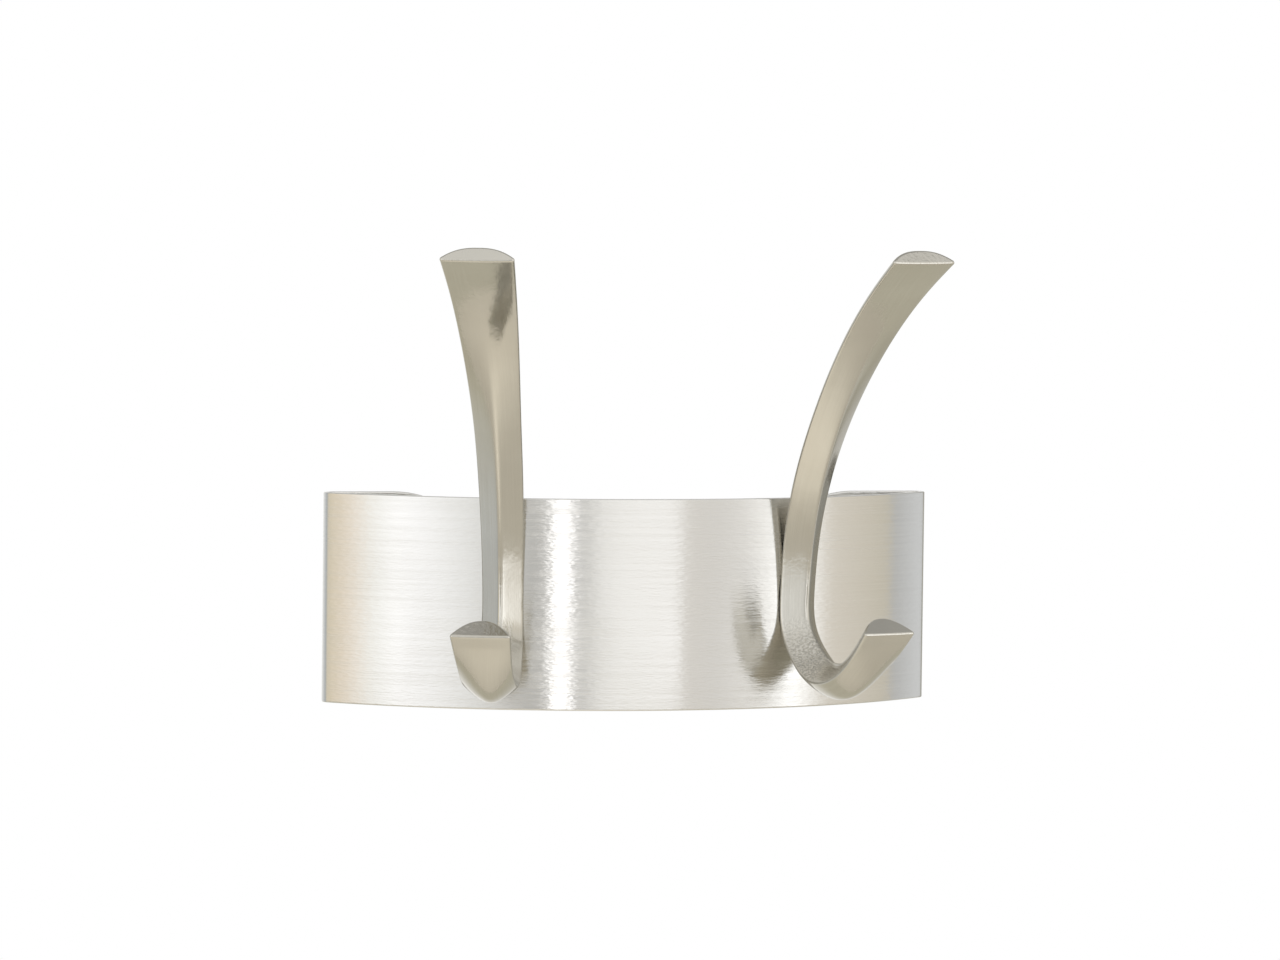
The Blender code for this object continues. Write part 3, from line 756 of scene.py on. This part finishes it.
# %% The room
world = bpy.data.worlds.new("studio")
bpy.context.scene.world = world
world.use_nodes = True
room = Wire(world.node_tree)
way = room.node("TexCoord", out="Generated")
split = room.node("SeparateXYZ", {0: way})
rightward, wallward, upward = (Wire(world.node_tree, split.socket.node.outputs[i])
                               for i in range(3))
bearing = rightward.math("ARCTAN2", -1.0 * wallward) * (180 / math.pi)
ROOM_TONES = (      # bearing in degrees from the front, towards the right; colour
    (-180, (1.05, 1.05, 1.05)), (-98, (0.43, 0.455, 0.47)),
    (-77.5, (0.74, 0.66, 0.51)), (-73, (0.86, 0.77, 0.65)), (-69, (0.95, 0.89, 0.81)),
    (-64, (1.02, 1.03, 1.01)), (-57, (1.18, 1.19, 1.21)), (-51, (1.10, 1.11, 1.13)),
    (-44, (1.00, 1.01, 1.02)), (-36, (0.86, 0.87, 0.87)), (-28, (0.70, 0.70, 0.69)),
    (-20, (0.51, 0.51, 0.50)), (-15.6, (0.56, 0.56, 0.55)), (-14.0, (1.65, 1.65, 1.68)),
    (-10.2, (1.65, 1.65, 1.68)), (-8.7, (0.64, 0.64, 0.64)), (-6.3, (0.62, 0.62, 0.61)),
    (-2, (0.89, 0.89, 0.88)), (4, (0.98, 0.98, 0.97)), (19.6, (1.06, 1.06, 1.06)),
    (21.2, (0.74, 0.72, 0.69)), (31, (0.74, 0.73, 0.71)), (38, (0.84, 0.83, 0.81)),
    (46, (1.06, 1.06, 1.05)), (53, (1.42, 1.44, 1.46)), (62, (0.90, 0.88, 0.84)),
    (66, (0.72, 0.68, 0.61)),
    (88.6, (0.58, 0.545, 0.46)), (89.6, (0.48, 0.485, 0.485)), (104, (0.66, 0.675, 0.69)),
    (118, (0.30, 0.29, 0.25)), (180, (1.05, 1.05, 1.05)))
tone_stops = [((angle + 180) / 360, colour) for angle, colour in ROOM_TONES]
level_room = room.node("ValToRGB", {0: bearing.band(-180.0, 180.0)}, stops=tone_stops)
LOOK_START, LOOK_FULL = 0.25, 0.75      # how steep a way is before floor or ceiling shows
overhead = upward.band(LOOK_START, LOOK_FULL)
downward = (-1.0 * upward).band(LOOK_START, LOOK_FULL)
underfoot = wallward.band(-0.02, 0.06).mix((0.62, 0.59, 0.52, 1.0), (0.52, 0.50, 0.42, 1.0))
ceiling = wallward.band(-0.06, -0.005).mix((0.74, 0.74, 0.73, 1.0), (0.38, 0.38, 0.37, 1.0))
seen = downward.mix(overhead.mix(level_room, ceiling), underfoot)

# %% Dimmer at the second reflection
SECOND_DIM = 0.6
glossy = room.node("LightPath", out="Is Glossy Ray")
again = glossy * room.node("LightPath", out="Ray Depth").math("GREATER_THAN", 2.5)
dimmed = (SECOND_DIM * again * (1 - overhead)).mix(seen, (0.14, 0.135, 0.10, 1.0))
direct = room.node("LightPath", out="Is Camera Ray").mix(dimmed, (1.0, 1.0, 1.0, 1.0))
world.node_tree.links.new(direct.socket, world.node_tree.nodes["Background"].inputs["Color"])
bpy.context.scene.view_settings.view_transform = "Standard"


# %% [markdown]
# The floor is a pale half disc in front of the wall, which the hooks' undersides mirror.
# One soft lamp, aimed down at it from the front left, brightens a pool on it.  A lamp
# that shone on the metal would only add a hard mark, so mirrors don't show this one.

# %% The lamp over the floor
LAMP_PLACE, LAMP_TARGET = Vector((-0.13, -0.50, 0.42)), Vector((-0.09, -0.28, -0.26))
light = bpy.data.lights.new("floor_lamp", "AREA")
light.shape, light.size = "SQUARE", 0.2
light.energy, light.spread = 0.21, math.radians(55.0)
lamp = bpy.data.objects.new("floor_lamp", light)
bpy.context.scene.collection.objects.link(lamp)
lamp.location = LAMP_PLACE
lamp.rotation_euler = (LAMP_TARGET - LAMP_PLACE).to_track_quat("-Z", "Y").to_euler()
lamp.visible_glossy = False

# %% The floor
FLOOR_HEIGHT, FLOOR_RADIUS = -0.26, 1.1
rim = np.linspace(math.pi, 2 * math.pi, 65)
floor_points = np.stack((FLOOR_RADIUS * np.cos(rim), FLOOR_RADIUS * np.sin(rim),
                         np.full(rim.size, FLOOR_HEIGHT)), axis=-1)
floor_mesh = bpy.data.meshes.new("floor")
floor_mesh.from_pydata(floor_points.tolist(), [], [list(range(rim.size))])
floor = bpy.data.objects.new("floor", floor_mesh)
bpy.context.scene.collection.objects.link(floor)
paint = bpy.data.materials.new("pale_floor")
paint.use_nodes = True
painted = paint.node_tree.nodes["Principled BSDF"]
painted.inputs["Roughness"].default_value = 0.9
ways = Wire(paint.node_tree)
bounces = ways.node("LightPath", out="Ray Depth")
# seen in the metal after a first reflection, the floor is painted dark: painted shade in second
# reflections
second_reflection_shade = ways.node("LightPath", out="Is Glossy Ray") * bounces.math("GREATER_THAN", 1.5)
feed(painted, Base_Color=(SECOND_DIM * second_reflection_shade).mix((0.87, 0.82, 0.72, 1.0), (0.20, 0.19, 0.15, 1.0)))
floor_mesh.materials.append(paint)

# %% [markdown]
# The camera stands well back with a long lens, a little to the left of the rack and just
# above it, so that the two hooks show different sides.

# %% The camera
YAW, PITCH, ROLL = 0.2314, 0.0548, 0.0119       # radians: right, down, right side up
LENS, SENSOR = 188.57, 36.0                     # mm
STAND = Vector((-0.557074, -2.389362, 0.176730))
ahead = Vector((math.sin(YAW) * math.cos(PITCH), math.cos(YAW) * math.cos(PITCH),
                -math.sin(PITCH)))
level_right = Vector((math.cos(YAW), -math.sin(YAW), 0.0))
level_up = level_right.cross(ahead)
right = math.cos(ROLL) * level_right + math.sin(ROLL) * level_up
up = math.cos(ROLL) * level_up - math.sin(ROLL) * level_right
lens = bpy.data.cameras.new("camera")
lens.lens, lens.sensor_width = LENS, SENSOR
camera = bpy.data.objects.new("camera", lens)
bpy.context.scene.collection.objects.link(camera)
turn = Matrix((right, up, -ahead)).transposed().to_4x4()
camera.matrix_world = Matrix.Translation(STAND) @ turn
bpy.context.scene.camera = camera
